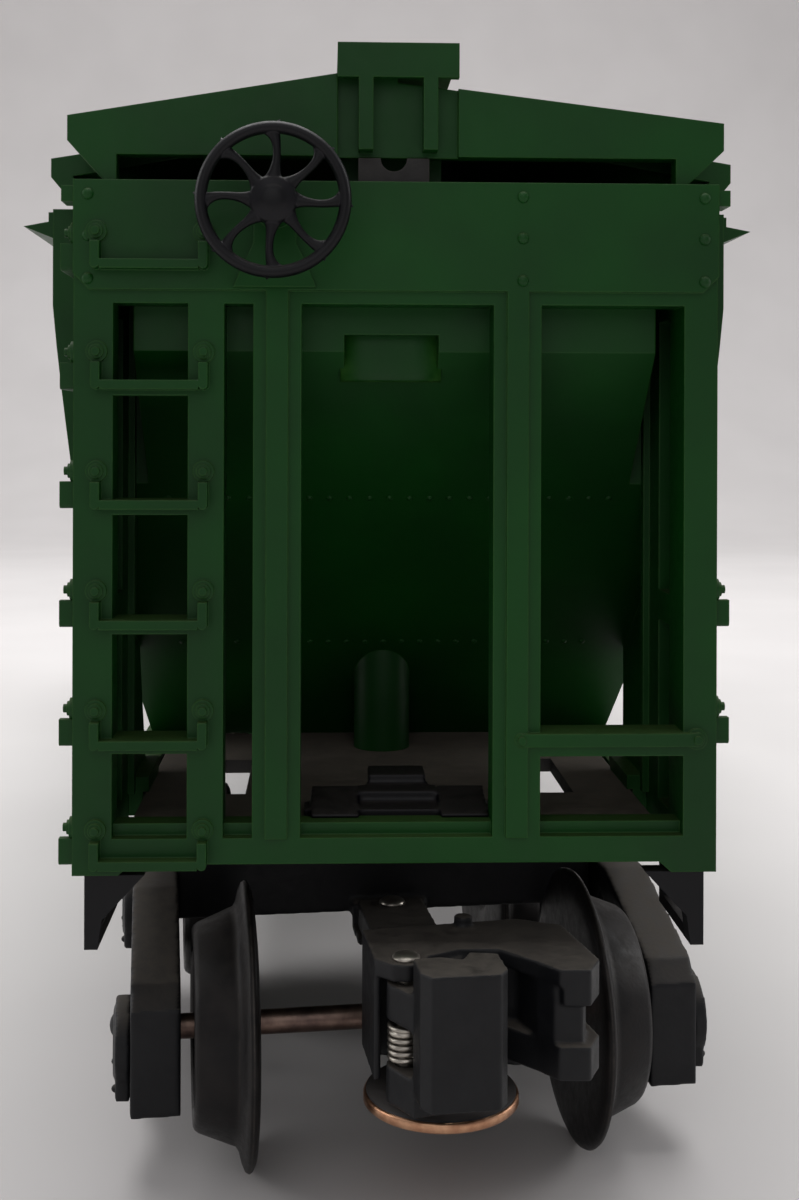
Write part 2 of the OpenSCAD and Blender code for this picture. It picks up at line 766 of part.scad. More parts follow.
// Outline of one spoke: it starts at the hub and sweeps round as it nears the rim
function spoke_mid(t) =
  let (r = hub_r - 0.3 + (brake_d / 2 - rim_w / 2 - hub_r + 0.3) * t, a = 3 * t - 24 * t * (1 - t))
  [r * cos(a), r * sin(a)];
function spoke_side(t, w) =
  let (d = spoke_mid(t + 0.02) - spoke_mid(t)) spoke_mid(t) + [-d[1], d[0]] * w / norm(d);
module spoke() {
  steps = 6;
  w = 0.3;
  right = [for (i = [0 : steps]) spoke_side(i / steps, -w)];
  left = [for (i = [steps : -1 : 0]) spoke_side(i / steps, w)];
  polygon(concat(right, left));
}
module rim_section() {
  a = rim_w / 2;
  polygon([for (i = [0 : 7]) a * [cos(22.5 + 45 * i), sin(22.5 + 45 * i)]]);
}
module brake_wheel() {
  color(black) translate([brake_x, -half_l + brake_y, brake_z]) rotate([90, 0, 0]) {
    rotate_extrude() translate([brake_d / 2 - rim_w / 2, 0]) rim_section();
    translate([0, 0, -0.5]) cylinder(r = hub_r, h = 0.95);
    translate([0, 0, brake_y + 0.8]) cylinder(r = shaft_r, h = -brake_y - 1);
    for (i = [0 : spokes - 1])
      rotate([0, 0, i * 360 / spokes]) translate([0, 0, -0.3]) linear_extrude(0.6) spoke();
  }
}

// ---------- Trucks ----------

module wheel() {
  tip = flange_gauge / 2;
  out = tip - 0.75 + wheel_w;
  rotate([0, 90, 0]) rotate_extrude()
    polygon([[axle_r, tip - 0.75], [flange_d / 2 - 0.5, tip - 0.35], [flange_d / 2, tip],
             [flange_d / 2 - 0.3, tip + 0.3], [tread_d / 2 + 0.35, tip + 0.75], [tread_d / 2, tip + 1.1],
             [tread_d / 2 - 1.1, out - 0.2], [tread_d / 2 - 1.3, out], [tread_d / 2 - 2.2, out],
             [tread_d / 2 - 2.8, out - 1.3], [axle_r + 2.3, out - 1.3], [axle_r + 1.7, out - 0.2],
             [axle_r, out - 0.2]]);
}
module wheel_pair(y) {
  color(iron) translate([0, y, axle_z]) mirror_x() wheel();
}
module axle(y) {
  color(steel) translate([0, y, axle_z]) rotate([0, 90, 0]) {
    translate([0, 0, -axle_end]) cylinder(r = axle_r, h = 2 * axle_end);
  }
}

module bolster() {
  color(black) difference() {
    union() {
      block([-frame_in, -bolster_half_y, bolster_z], [frame_in, bolster_half_y, bolster_top]);
      translate([0, 0, bolster_top - eps]) cylinder(r = 7, h = deck_under - face_gap - bolster_top);
      // Seat for the drawbar, hung from the beam's front face
      block([-3.4, -bolster_half_y - 0.8, tongue_z - 0.6], [3.4, -bolster_half_y + eps, bolster_z + 1]);
      block([-3.4, -9, tongue_z - 0.6], [3.4, -bolster_half_y + eps, tongue_z]);
    }
    translate([0, 0, bolster_z - 1]) cylinder(r = screw_r + run_gap, h = 30);
    translate([0, 0, bolster_z - 1]) cylinder(r = pivot_head_r + 0.5, h = 3.4);
  }
}

// One cast side frame: arched top bar, journal blocks, tie bar and the spring nest between
module side_frame() {
  hb = wheelbase / 2;
  top = bolster_top - 1.6;
  low = axle_z - 6.4;
  nest = 5.4;
  difference() {
    along_x(frame_in, frame_in + frame_thick)
      difference() {
        polygon([[-hb - 4.2, axle_z - 5.6], [-hb - 4.2, axle_z + 2.8], [-hb - 2.6, axle_z + 4.6],
                 [-hb * 0.5, top], [hb * 0.5, top], [hb + 2.6, axle_z + 4.6], [hb + 4.2, axle_z + 2.8],
                 [hb + 4.2, axle_z - 5.6], [hb - 3.4, axle_z - 5.6], [hb - 6.2, axle_z - 3.6],
                 [nest + 2, low], [-nest - 2, low], [-hb + 6.2, axle_z - 3.6], [-hb + 3.4, axle_z - 5.6]]);
        // Spring nest window
        polygon([[-nest, low + 1.7], [nest, low + 1.7], [nest, bolster_z], [-nest, bolster_z]]);
        // Triangular windows between nest and journal
        for (s = [-1, 1])
          polygon([[s * (nest + 1.8), low + 2.6], [s * (hb - 4.6), axle_z - 1.4],
                   [s * (hb - 4.6), axle_z + 2], [s * (nest + 1.8), top - 2.2]]);
      }
    for (s = [-1, 1])
      translate([frame_in - 1, s * hb, axle_z]) rotate([0, 90, 0])
        cylinder(r = axle_r + run_gap, h = 1 + 1.7 + 0.2);
  }
}
module side_frames() {
  color(black) mirror_x() side_frame();
}
module bearing_caps() {
  x = frame_in + frame_thick;
  color(black) mirror_x() mirror_y() translate([x, -wheelbase / 2, axle_z - 1]) {
    rotate([0, 90, 0]) cylinder(r = journal_r, h = 1.2);
    rotate([0, 90, 0]) cylinder(r = journal_r - 0.9, h = cap_out - 0.5);
    block([0, -2.9, -3.7], [cap_out - 0.7, 2.9, 0]);
  }
}
module truck_springs() {
  low = axle_z - 6.4 + 1.7;
  coils = 6;
  r = 1.35;
  pitch = (bolster_z - low) / coils;
  color(black) mirror_x()
    for (y = [-3.3, 0, 3.3])
      translate([frame_in + frame_thick / 2, y, low])
        rotate_extrude($fn = 24)
          polygon(concat([[0, 0]],
                         [for (i = [0 : coils - 1]) each [[r - 0.35, i * pitch], [r, (i + 0.5) * pitch]]],
                         [[r - 0.35, coils * pitch], [0, coils * pitch]]));
}
module pivot_screw() {
  color(steel) translate([0, 0, bolster_z + 2.4 - 1.4])
    screw(screw_r, pivot_head_r, deck_z + 4 - bolster_z - 1, 1);
}

// ---------- Coupler ----------

// Outline of the head seen from above: pin end on the left, guard arm on the right
module head_outline() {
  back = -(coupler_reach - 14.5);
  front = -(coupler_reach - 4.4);
  polygon([[pin_x - eye_r - 0.9, back - 1], [pin_x - eye_r - 0.9, pin_y + 0.3],
           [pin_x - eye_r * 0.8, pin_y - eye_r * 0.8], [pin_x, pin_y - eye_r],
           [pin_x + eye_r * 0.8, pin_y - eye_r * 0.8], [pin_x + eye_r + 0.3, pin_y + 0.4],
           [1.2, back - 6.4], [4, back - 6.8], [6.2, front + 0.4], [7.4, front - 1.6], [9.6, front - 2],
           [10.9, front + 0.2], [10.2, back - 2], [7, back]]);
}
module coupler_head() {
  back = -(coupler_reach - 14.5);
  front = -(coupler_reach - 4.4);
  color(black) difference() {
    union() {
      translate([0, 0, head_top - plate_t]) linear_extrude(plate_t) head_outline();
      // Lower arm and lug, on the guard side only
      intersection() {
        translate([0, 0, arm_low]) linear_extrude(arm_t) head_outline();
        block([2, -coupler_reach, arm_low - 1], [12, 0, arm_low + arm_t + 1]);
      }
      // Upper lug of the guard arm
      translate([0, 0, head_top - plate_t - 1.4]) linear_extrude(1.5)
        polygon([[7.6, front + 1], [7.6, front - 1.6], [9.6, front - 2],
                 [10.9, front + 0.2], [10.4, front + 1.6]]);
      // Wall down the pin side
      block([pin_x - eye_r - 0.9, pin_y + 0.3, axle_z + 1.2],
            [pin_x - eye_r - face_gap, back - 1, head_top - eps]);
      // Back wall of the mouth
      translate([0, 0, axle_z + 1.2]) linear_extrude(head_top - axle_z - 1.2 - eps)
        polygon([[pin_x - eye_r - 0.9, back - 1], [pin_x - eye_r - 0.9, back - 3], [1.4, back - 4.9],
                 [5.4, back - 6.6], [8.4, back - 6.4], [10.2, back - 2], [7, back]]);
      // Guard arm
      translate([0, 0, arm_low + 0.4]) linear_extrude(head_top - arm_low - 0.8)
        polygon([[5.4, back - 6], [6.2, front + 0.4], [7.2, front - 1], [9.2, front - 1.4],
                 [10, front + 0.6], [9.6, back - 4]]);
      // Guide for the disk's stem
      translate([0, disk_y, disk_z + disk_t + face_gap])
        cylinder(r = guide_r, h = head_top - disk_z - disk_t - 1);
      // Stub on the top plate, and the drawbar back to the bolster
      translate([2.4, back - 1.4, head_top - eps]) cylinder(r = 0.7, h = 0.9);
      block([-3, back - 1.5, tongue_z], [3, -5.4, tongue_z + tongue_t]);
    }
    translate([pin_x, pin_y, head_top - plate_t - 1]) cylinder(r = pin_r, h = plate_t + 2);
    translate([0, disk_y, disk_z]) cylinder(r = stem_r + run_gap, h = axle_z + 6 - disk_z);
  }
}
module coupler_rivets() {
  color(steel) {
    translate([pin_x, pin_y, head_top]) cylinder(r = 1.05, h = 0.45);
    translate([0, -6.8, tongue_z + tongue_t]) cylinder(r = 1.2, h = 0.6);
  }
}
// Swinging jaw: a tall block in front and two eyes on the pin, with the spring between them
module knuckle() {
  face = -coupler_reach;
  color(black) difference() {
    union() {
      translate([0, 0, knuckle_low]) linear_extrude(knuckle_top - knuckle_low)
        polygon([[-knuckle_half, face + 1], [-knuckle_half + 0.7, face], [knuckle_half - 0.7, face],
                 [knuckle_half, face + 1], [knuckle_half, face + 4.3], [knuckle_half - 2, face + 4.8],
                 [0.4, face + 3.4], [-1.1, face + 4.1], [-knuckle_half, face + 4]]);
      for (z = [eye_low, eye_high - eye_h])
        translate([0, 0, z]) linear_extrude(eye_h) {
          translate([pin_x, pin_y]) circle(r = eye_r);
          polygon([[pin_x - 1.3, pin_y - 0.6], [pin_x + 1.4, pin_y - 0.2], [-0.6, face + 3.8],
                   [-knuckle_half, face + 3.4]]);
        }
    }
    translate([pin_x, pin_y, 0]) cylinder(r = pin_r + run_gap, h = 60);
  }
}
module knuckle_pin() {
  color(steel) translate([pin_x, pin_y, pin_low]) cylinder(r = pin_r, h = head_top - pin_low);
}
module knuckle_spring() {
  low = eye_low + eye_h + face_gap;
  high = eye_high - eye_h - face_gap;
  coils = 5;
  pitch = (high - low) / coils;
  inner = pin_r + 0.12;
  color(steel) translate([pin_x, pin_y, low]) rotate_extrude($fn = 24)
    polygon(concat([[inner, 0]],
                   [for (i = [0 : coils - 1]) each [[1.05, i * pitch], [1.4, (i + 0.5) * pitch]]],
                   [[1.05, coils * pitch], [inner, coils * pitch]]));
}
module uncoupler() {
  color(steel) translate([0, disk_y, disk_z]) {
    cylinder(r = disk_d / 2, h = disk_t);
    cylinder(r = stem_r, h = axle_z + 5 - disk_z);
  }
}

hopper_body();
front_end_frame();
rear_end_frame();
roof_cover();
running_board();
at_hatch(-1, 0) hatch_lid();  // hatch_left_1
at_hatch(-1, 1) hatch_lid();  // hatch_left_2
at_hatch(-1, 2) hatch_lid();  // hatch_left_3
at_hatch(1, 0) hatch_lid();  // hatch_right_1
at_hatch(1, 1) hatch_lid();  // hatch_right_2
at_hatch(1, 2) hatch_lid();  // hatch_right_3
roof_latch_tabs();
underframe();
sill_steps();
front_striker();
rear_striker();
outlet_chutes();
at_bay(0) outlet_gate();  // outlet_gate_1
at_bay(1) outlet_gate();  // outlet_gate_2
at_bay(2) outlet_gate();  // outlet_gate_3
ballast_weight();
body_screws();
brake_housing();
brake_wheel();
at_front_truck() bolster();  // front_bolster
at_front_truck() side_frames();  // front_side_frames
at_front_truck() bearing_caps();  // front_bearing_caps
at_front_truck() truck_springs();  // front_truck_springs
at_front_truck() pivot_screw();  // front_pivot_screw
at_front_truck() axle(-wheelbase / 2);  // front_lead_axle
at_front_truck() wheel_pair(-wheelbase / 2);  // front_lead_wheels
at_front_truck() axle(wheelbase / 2);  // front_trail_axle
at_front_truck() wheel_pair(wheelbase / 2);  // front_trail_wheels
at_front_truck() coupler_head();  // front_coupler_head
at_front_truck() coupler_rivets();  // front_coupler_rivets
at_front_truck() knuckle();  // front_knuckle
at_front_truck() knuckle_pin();  // front_knuckle_pin
at_front_truck() knuckle_spring();  // front_knuckle_spring
at_front_truck() uncoupler();  // front_uncoupler
at_rear_truck() bolster();  // rear_bolster
at_rear_truck() side_frames();  // rear_side_frames
at_rear_truck() bearing_caps();  // rear_bearing_caps
at_rear_truck() truck_springs();  // rear_truck_springs
at_rear_truck() pivot_screw();  // rear_pivot_screw
at_rear_truck() axle(-wheelbase / 2);  // rear_lead_axle
at_rear_truck() wheel_pair(-wheelbase / 2);  // rear_lead_wheels
at_rear_truck() axle(wheelbase / 2);  // rear_trail_axle
at_rear_truck() wheel_pair(wheelbase / 2);  // rear_trail_wheels
at_rear_truck() coupler_head();  // rear_coupler_head
at_rear_truck() coupler_rivets();  // rear_coupler_rivets
at_rear_truck() knuckle();  // rear_knuckle
at_rear_truck() knuckle_pin();  // rear_knuckle_pin
at_rear_truck() knuckle_spring();  // rear_knuckle_spring
at_rear_truck() uncoupler();  // rear_uncoupler
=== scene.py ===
# %% [markdown]
# # A covered hopper wagon in O gauge, built around its CAD frame
# The wagon is a moulded green body on two black trucks. Every solid that carries load or moves
# comes from the CAD frame, which already has its true size and place. This file gives each solid
# its finish, and makes the fine pieces that a moulding shop or a caster would add: rounded edges,
# rivets, coil springs, turned wheels and dust. We load the frame first, so that all later
# positions can be read from it.

import json
import math
import random

import bmesh
import bpy
from mathutils import Matrix, Vector
from mathutils.bvhtree import BVHTree

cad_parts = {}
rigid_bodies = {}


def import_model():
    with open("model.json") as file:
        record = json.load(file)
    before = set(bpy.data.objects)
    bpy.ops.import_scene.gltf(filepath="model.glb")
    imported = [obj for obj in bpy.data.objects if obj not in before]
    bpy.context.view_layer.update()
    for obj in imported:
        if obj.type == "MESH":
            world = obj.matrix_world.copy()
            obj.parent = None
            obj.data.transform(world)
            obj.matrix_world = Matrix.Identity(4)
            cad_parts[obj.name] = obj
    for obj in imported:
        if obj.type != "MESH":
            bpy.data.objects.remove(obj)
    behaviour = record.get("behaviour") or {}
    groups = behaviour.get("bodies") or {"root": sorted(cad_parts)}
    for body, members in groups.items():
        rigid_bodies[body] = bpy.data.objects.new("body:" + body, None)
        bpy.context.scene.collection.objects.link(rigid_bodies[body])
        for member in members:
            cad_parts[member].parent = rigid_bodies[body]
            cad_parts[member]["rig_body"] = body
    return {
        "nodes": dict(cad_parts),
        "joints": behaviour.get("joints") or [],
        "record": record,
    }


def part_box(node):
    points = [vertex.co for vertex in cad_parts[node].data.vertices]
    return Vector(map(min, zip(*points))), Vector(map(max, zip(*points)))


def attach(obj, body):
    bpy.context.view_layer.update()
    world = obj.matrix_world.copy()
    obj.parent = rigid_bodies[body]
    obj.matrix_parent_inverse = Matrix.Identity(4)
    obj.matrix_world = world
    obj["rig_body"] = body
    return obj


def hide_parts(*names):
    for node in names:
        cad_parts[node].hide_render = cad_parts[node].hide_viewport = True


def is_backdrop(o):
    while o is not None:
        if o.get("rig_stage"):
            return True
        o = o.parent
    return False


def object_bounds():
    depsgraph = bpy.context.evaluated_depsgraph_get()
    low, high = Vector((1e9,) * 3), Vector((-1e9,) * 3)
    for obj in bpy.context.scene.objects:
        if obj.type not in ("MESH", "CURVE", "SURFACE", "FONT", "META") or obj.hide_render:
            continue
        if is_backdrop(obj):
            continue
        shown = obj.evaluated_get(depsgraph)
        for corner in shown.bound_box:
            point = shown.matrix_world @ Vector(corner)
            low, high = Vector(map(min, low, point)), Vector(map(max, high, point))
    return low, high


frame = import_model()
cad_low, cad_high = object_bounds()
joints = {joint["name"]: joint for joint in frame["joints"]}
MM = 0.001
print("wagon", [round(side / MM, 1) for side in cad_high - cad_low], "mm")

# %% [markdown]
# ## The camera
# The wagon is seen from just in front of its brake end, a little to the left of its middle and at
# two thirds of its height. A level camera keeps the upright posts parallel. The lens is then
# shifted down a little, as a view camera's is, to bring the wheels into the picture.

# %% Place the camera
END_FACE_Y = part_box("front_end_frame")[0].y
eye = Vector((-5.33 * MM, END_FACE_Y - 111.4 * MM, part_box("front_end_frame")[1].z - 18.9 * MM))
lens = bpy.data.cameras.new("eye")
lens.lens = 45
lens.sensor_width = 36
lens.shift_x = 0.018
lens.shift_y = -0.139
lens.clip_start = 0.01
lens.clip_end = 20
camera = bpy.data.objects.new("eye", lens)
camera.location = eye
camera.rotation_euler = (math.radians(90), math.radians(-0.18), math.radians(-1.95))
bpy.context.scene.collection.objects.link(camera)
bpy.context.scene.camera = camera
print("camera stands", round((END_FACE_Y - eye.y) / MM), "mm in front of the end frame")

# %% [markdown]
# ## Colours and nodes
# Colours are easiest to pick as sRGB hex values, but Blender's shaders work in linear light, so one
# function turns the first into the second. A second function adds a shader node, sets its values
# and links its inputs in one go. It keeps each material below to a few readable lines.

# %% Colour and node helpers
def linear(code, alpha=1.0):
    """Linear light of an sRGB hex colour such as 1f5c24."""
    parts = [int(code[i:i + 2], 16) / 255 for i in (0, 2, 4)]
    light = tuple(c / 12.92 if c <= 0.04045 else ((c + 0.055) / 1.055) ** 2.4 for c in parts)
    return light + (alpha,)


def add_node(tree, kind, values=None, links=None, **settings):
    """Adds a node: settings are properties, values its inputs' numbers, links its inputs' sources."""
    node = tree.nodes.new(kind)
    for name, value in settings.items():
        setattr(node, name, value)
    for key, value in (values or {}).items():
        node.inputs[key].default_value = value
    for key, source in (links or {}).items():
        tree.links.new(source, node.inputs[key])
    return node


def start_material(name):
    """An empty node material with its shader; returns the material, its tree and the shader."""
    material = bpy.data.materials.new(name)
    material.use_nodes = True
    tree = material.node_tree
    shader = tree.nodes["Principled BSDF"]
    return material, tree, shader


print("linear mid grey", round(linear("808080")[0], 3))

# %% [markdown]
# ## What dust, wear and painted edge highlights look like
# Dust falls from above, so it lies where a face looks up. The edges are painted paler: partly rubbed
# wear and caught dust, partly a painted highlight. Both masks can be worked out from the surface itself:
# the first from how far the normal points up, the second from how much a rounded normal differs from the
# true one.
# Every finish below shares them, each with its own strength and dust colour.

# %% Masks for dust and edges
def scale_for(size_mm):
    """Noise scale whose features are about this many millimetres across, in object space."""
    return 1 / (size_mm * MM)


def noise(tree, size_mm, detail=3.0, rough=0.55):
    """A noise pattern in object space with features of that real size."""
    place = add_node(tree, "ShaderNodeTexCoord")
    return add_node(tree, "ShaderNodeTexNoise",
                    {"Scale": scale_for(size_mm), "Detail": detail, "Roughness": rough},
                    {"Vector": place.outputs["Object"]})


def remap(tree, source, low, high, to_low=0.0, to_high=1.0):
    """Stretches a value from one range to another, clamped."""
    node = add_node(tree, "ShaderNodeMapRange",
                    {"From Min": low, "From Max": high, "To Min": to_low, "To Max": to_high},
                    {"Value": source})
    return node.outputs["Result"]


def times(tree, first, second):
    """The product of two values; the second is a number or another node's output."""
    node = add_node(tree, "ShaderNodeMath", {}, {0: first}, operation="MULTIPLY")
    if isinstance(second, float):
        node.inputs[1].default_value = second
    else:
        tree.links.new(second, node.inputs[1])
    return node.outputs[0]


def facing_up(tree, start, full):
    """1 where a face looks up, 0 where it is upright."""
    shape = add_node(tree, "ShaderNodeNewGeometry")
    parts = add_node(tree, "ShaderNodeSeparateXYZ", {}, {"Vector": shape.outputs["True Normal"]})
    return remap(tree, parts.outputs["Z"], start, full)


def edges(tree, radius_mm, low=0.02, high=0.22):
    """1 along sharp edges, within the radius of each."""
    shape = add_node(tree, "ShaderNodeNewGeometry")
    rounded = add_node(tree, "ShaderNodeBevel", {"Radius": radius_mm * MM}, samples=6)
    same = add_node(tree, "ShaderNodeVectorMath", {},
                    {0: rounded.outputs[0], 1: shape.outputs["True Normal"]}, operation="DOT_PRODUCT")
    return remap(tree, same.outputs["Value"], 1 - low, 1 - high)


def blend_colours(tree, amount, below, above):
    """Mixes two colours by a mask; each is a linear colour or another node's output."""
    node = add_node(tree, "ShaderNodeMix", {}, {"Factor": amount}, data_type="RGBA")
    for key, value in (("A", below), ("B", above)):
        socket = [s for s in node.inputs if s.name == key and s.type == "RGBA"][0]
        if isinstance(value, tuple):
            socket.default_value = value
        else:
            tree.links.new(value, socket)
    return [s for s in node.outputs if s.type == "RGBA"][0]


print("a 1 mm grain has noise scale", scale_for(1))

# %% [markdown]
# ## One recipe for solid finishes
# Each finish here is an opaque solid with a mottled colour, dust on top, paler edges, a fine
# surface grain and a small rounding that catches light. They differ only in numbers, so one
# function takes those numbers and builds the material. Sizes are real ones in millimetres.

# %% The finish recipe
def make_finish(name, deep, pale, dust, edge, *, metallic=0.0, ior=None, rough=(0.35, 0.5), mottle_mm=6.0,
                grain_mm=0.25, grain=0.06, dust_amount=0.6, dust_from=0.35, edge_amount=0.35, edge_mm=0.22,
                round_mm=0.12):
    """A solid finish: deep and pale mottle, dust and edge are sRGB hex colours."""
    material, tree, shader = start_material(name)
    mottle = noise(tree, mottle_mm)
    colour = blend_colours(tree, remap(tree, mottle.outputs["Fac"], 0.35, 0.68), linear(deep), linear(pale))
    speck = noise(tree, 1.1, detail=6.0, rough=0.7)
    lying = times(tree, facing_up(tree, dust_from, 0.95),
                  remap(tree, speck.outputs["Fac"], 0.25, 0.6, 0.45, 1.0))
    lying = times(tree, lying, dust_amount)
    colour = blend_colours(tree, lying, colour, linear(dust))
    # Paler edge colour: partly wear and dust, partly a painted highlight along every edge.
    edge_wear_and_highlight = times(tree, edges(tree, edge_mm), remap(tree, speck.outputs["Fac"], 0.35, 0.62, 0.25, 1.0))
    edge_wear_and_highlight = times(tree, edge_wear_and_highlight, edge_amount)
    colour = blend_colours(tree, edge_wear_and_highlight, colour, linear(edge))
    tree.links.new(colour, shader.inputs["Base Color"])
    dull = add_node(tree, "ShaderNodeMath", {},
                    {0: remap(tree, speck.outputs["Fac"], 0.3, 0.7, *rough), 1: times(tree, lying, 0.4)},
                    operation="ADD", use_clamp=True)
    tree.links.new(dull.outputs[0], shader.inputs["Roughness"])
    fine = noise(tree, grain_mm, detail=4.0)
    rounded = add_node(tree, "ShaderNodeBevel", {"Radius": round_mm * MM}, samples=6)
    bump = add_node(tree, "ShaderNodeBump", {"Strength": grain, "Distance": 0.1 * MM},
                    {"Height": fine.outputs["Fac"], "Normal": rounded.outputs[0]})
    tree.links.new(bump.outputs[0], shader.inputs["Normal"])
    shader.inputs["Metallic"].default_value = metallic
    if ior is not None:
        shader.inputs["IOR"].default_value = ior
    print("finish", name)
    return material


# %% [markdown]
# ## The body's plastic
# The body is polystyrene, moulded in one dark green colour and not painted. Out of a polished steel
# mould it has a satin skin with soft reflections, and its colour wanders only a little. Years on a
# shelf leave an olive-grey film on every ledge, and fibres that cling to the edges.

# %% Green polystyrene
# Its pale olive edge colour is partly dust and partly a painted highlight along the edges.
green_styrene = make_finish(
    "moulded_green_polystyrene", "013206", "023e08", "3f4e26", "3a6428",
    ior=1.32, rough=(0.42, 0.54), mottle_mm=14.0, grain_mm=0.3, grain=0.05,
    dust_amount=0.5, edge_amount=0.5, edge_mm=0.22, round_mm=0.16)

# %% [markdown]
# ## Black plastic
# Steps, brake wheel and truck side frames are acetal, a slippery engineering plastic that is
# moulded in black. It looks waxy: broad highlights with a cool cast, and no texture.

# %% Black acetal
# Its grey edge colour is a painted highlight along the edges.
black_acetal = make_finish(
    "moulded_black_acetal", "050508", "08080c", "35312e", "2e2c34",
    ior=1.3, rough=(0.36, 0.48), mottle_mm=5.0, grain_mm=0.2, grain=0.05,
    dust_amount=0.5, dust_from=0.5, edge_amount=0.4, edge_mm=0.16, round_mm=0.12)

# %% [markdown]
# ## Blackened casting
# The coupler and bolster are zinc, die-cast and then chemically blackened. The skin of such a
# casting is slightly pebbled and greyer than plastic, and it holds a brown-grey film of dust and oil.

# %% Blackened zinc
black_zinc = make_finish(
    "die_cast_blackened_zinc", "06070a", "0c0d10", "4a453f", "34343a",
    metallic=0.0, ior=1.35, rough=(0.42, 0.58), mottle_mm=3.0, grain_mm=0.35, grain=0.16,
    dust_amount=0.85, dust_from=0.45, edge_amount=0.45, edge_mm=0.22, round_mm=0.2)

# %% [markdown]
# ## The chassis plate
# The deck below the hoppers is a die-cast plate with a thin dull paint. It faces up and is hard to
# clean, so a tan film covers it almost fully.

# %% Dusty chassis paint
chassis_paint = make_finish(
    "dull_painted_casting", "161412", "211e1b", "62594f", "544c44",
    metallic=0.1, rough=(0.55, 0.7), mottle_mm=4.0, grain_mm=0.3, grain=0.12,
    dust_amount=0.9, dust_from=0.4, edge_amount=0.35, round_mm=0.1)

# %% [markdown]
# ## Wheel iron
# The wheels are sintered: iron powder pressed in a die and baked, then blackened. Oil and brake dust
# leave brown mottling. The rails polish the flange and a band of the tread, where the
# blackening is gone and bare grey metal glints.

# %% Sintered iron
wheel_iron = make_finish(
    "sintered_blackened_iron", "0e0d0e", "1b1817", "38332e", "6a645e",
    metallic=0.4, ior=1.35, rough=(0.36, 0.55), mottle_mm=2.2, grain_mm=0.3, grain=0.14,
    dust_amount=0.25, edge_amount=0.6, edge_mm=0.3, round_mm=0.18)

# %% [markdown]
# ## Bright metal
# Axles, rivets and screws are drawn steel with a thin nickel plate, so they are truly metallic. Their
# highlights are bright and a bit brown where the plate has thinned. The disk under the coupler is
# steel too, black on top, and its rim shows the copper layer that lies under such plating.

# %% Nickel, axle steel and the copper rim
nickel_steel = make_finish(
    "nickel_plated_steel", "8f8a82", "b4aea4", "8a8378", "d8d2c6",
    metallic=1.0, rough=(0.24, 0.4), mottle_mm=1.5, grain_mm=0.25, grain=0.08,
    dust_amount=0.2, edge_amount=0.3)
axle_steel = make_finish(
    "drawn_axle_steel", "584844", "8a7468", "7a6f66", "b09a8c",
    metallic=1.0, rough=(0.28, 0.42), mottle_mm=2.0, grain_mm=0.15, grain=0.1,
    dust_amount=0.25, edge_amount=0.2)
copper_rim = make_finish(
    "copper_plated_steel_rim", "a87a5e", "c89c7c", "8a7464", "e8c4a4",
    metallic=1.0, rough=(0.25, 0.42), mottle_mm=1.0, grain_mm=0.2, grain=0.12,
    dust_amount=0.1, edge_amount=0.4)
lint_fibre = make_finish(
    "cotton_lint", "9aa596", "b9c2b4", "b9c2b4", "b9c2b4",
    ior=1.53, rough=(0.8, 0.9), grain=0.0, dust_amount=0.0, edge_amount=0.0)

# %% [markdown]
# ## Give each CAD node its finish
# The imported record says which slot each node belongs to. We walk through the nodes, and put the
# finish for that slot on the node's own material slots. Some nodes get a twin below with
# rounded edges, and that twin takes its finish from here as well.

# %% Finishes by slot
FINISH_OF_SLOT = {
    "green_plastic": green_styrene,
    "black_plastic": black_acetal,
    "black_casting": black_zinc,
    "wheel_metal": wheel_iron,
    "bright_steel": nickel_steel,
    "frame_metal": chassis_paint,
    "copper_disk": copper_rim,
}
slot_of_node = {part["node"]: part["material_slot"] for part in frame["record"]["subparts"]}
finish_of_node = {node: FINISH_OF_SLOT[slot] for node, slot in slot_of_node.items()}
for end in ("front", "rear"):
    for place in ("lead", "trail"):
        finish_of_node[f"{end}_{place}_axle"] = axle_steel


def dress(piece, finish):
    """Puts one finish on every material slot of a piece."""
    if not piece.data.materials:
        piece.data.materials.append(finish)
    for index in range(len(piece.data.materials)):
        piece.data.materials[index] = finish


for node, piece in frame["nodes"].items():
    dress(piece, finish_of_node[node])
print(len(finish_of_node), "nodes dressed")

# %% [markdown]
# ## Stage and light
# A pale sheet runs along the floor and curves up behind, so there is no hard horizon. Large soft
# lamps stand above and to the sides, and the end that faces us is lit mainly by what the sheet
# gives back, which is why it looks deep in colour.

# %% Pale sheet
def sheet_outline(depth, height, bend, steps=12):
    """Side view of the sheet: floor, quarter bend, wall."""
    points = [(-1.6, 0.0), (depth - bend, 0.0)]
    for step in range(1, steps + 1):
        angle = math.radians(90) * step / steps
        points.append((depth - bend + bend * math.sin(angle), bend - bend * math.cos(angle)))
    points.append((depth, height))
    return points


paper, tree, shader = start_material("pale_paper")
tooth = noise(tree, 60.0, detail=2.0)
tooth_mask = remap(tree, tooth.outputs["Fac"], 0.35, 0.65)
shade = blend_colours(tree, tooth_mask, linear("bfbcbb"), linear("c3c0bf"))
tree.links.new(shade, shader.inputs["Base Color"])
shader.inputs["Roughness"].default_value = 0.85
sheet = bmesh.new()
SHEET_HALF = 1.4
rows = []
for y, z in sheet_outline(0.9, 1.5, 0.35):
    rows.append([sheet.verts.new((x, y, z)) for x in (-SHEET_HALF, SHEET_HALF)])
for lower, upper in zip(rows, rows[1:]):
    sheet.faces.new((lower[0], lower[1], upper[1], upper[0])).smooth = True
sheet_mesh = bpy.data.meshes.new("pale_sheet")
sheet.to_mesh(sheet_mesh)
sheet.free()
pale_sheet = bpy.data.objects.new("pale_sheet", sheet_mesh)
pale_sheet.data.materials.append(paper)
pale_sheet.location.z = cad_low.z
bpy.context.scene.collection.objects.link(pale_sheet)
pale_sheet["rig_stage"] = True

# %% [markdown]
# ## Lamps
# An area lamp the size of a window gives soft shadows. Three of them copy a light tent: one overhead,
# and one on each side set back behind the end face.

